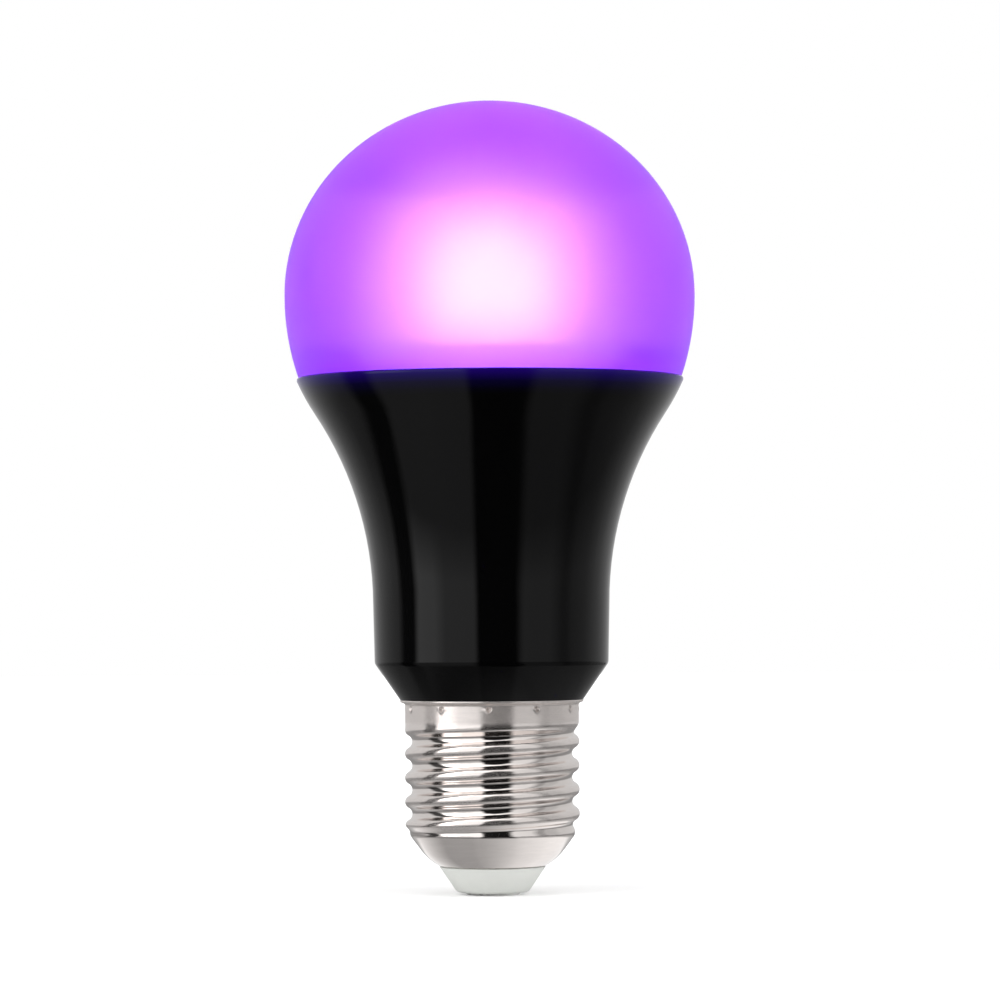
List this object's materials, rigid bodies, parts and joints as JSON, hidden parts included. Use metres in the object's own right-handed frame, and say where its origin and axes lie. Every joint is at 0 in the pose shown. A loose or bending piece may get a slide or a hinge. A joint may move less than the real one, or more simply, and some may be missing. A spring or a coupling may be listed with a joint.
{
  "type": "uv black light bulb",
  "caption": "Screw-in ultraviolet lamp with a milky dome that glows violet, a flared glossy black housing and a rolled metal screw cap with a centre contact.",
  "frame": {"origin": "lowest point of the centre contact, on the lamp's axis", "axes": "+Z along the lamp's axis from the contact to the top of the dome; -Y faces the camera of the picture"},
  "size_m": [0.062, 0.062, 0.1198],
  "materials": {
    "dome": "milky diffuser, lit violet from inside",
    "housing": "high gloss black",
    "bare_aluminium": "spun, satin",
    "led_board": "white solder mask on aluminium",
    "steel": "zinc plated",
    "white_plastic": "moulded",
    "black_plastic": "moulded",
    "circuit_board": "glass epoxy with a green mask",
    "can": "sleeved aluminium can",
    "film_capacitor": "dipped",
    "ferrite": "sintered",
    "copper": "enamelled copper wire",
    "resistor": "coated",
    "wire": "sleeved wire",
    "nickel": "bright nickel plate",
    "insulator": "satin, near white",
    "contact": "tinned",
    "emitter": "lit emitter"
  },
  "bodies": {
    "root": {"diffuser_dome": "dome", "housing": "housing", "heat_sink_cup": "bare_aluminium", "led_board": "led_board", "board_screws": "steel", "led_socket": "white_plastic", "pin_header": "black_plastic", "driver_board": "circuit_board", "input_capacitor": "can", "output_capacitor": "can", "film_capacitor": "film_capacitor", "inductor_core": "ferrite", "inductor_winding": "copper", "fusible_resistor": "resistor", "bridge_rectifier": "black_plastic", "driver_chip": "black_plastic", "flyback_diode": "black_plastic", "live_wire": "wire", "neutral_wire": "wire", "screw_shell": "nickel", "insulator": "insulator", "centre_contact": "contact", "led_01": "emitter", "led_02": "emitter", "led_03": "emitter", "led_04": "emitter", "led_05": "emitter", "led_06": "emitter", "led_07": "emitter", "led_08": "emitter", "led_09": "emitter", "led_10": "emitter", "led_11": "emitter", "led_12": "emitter"}
  },
  "joints": []
}
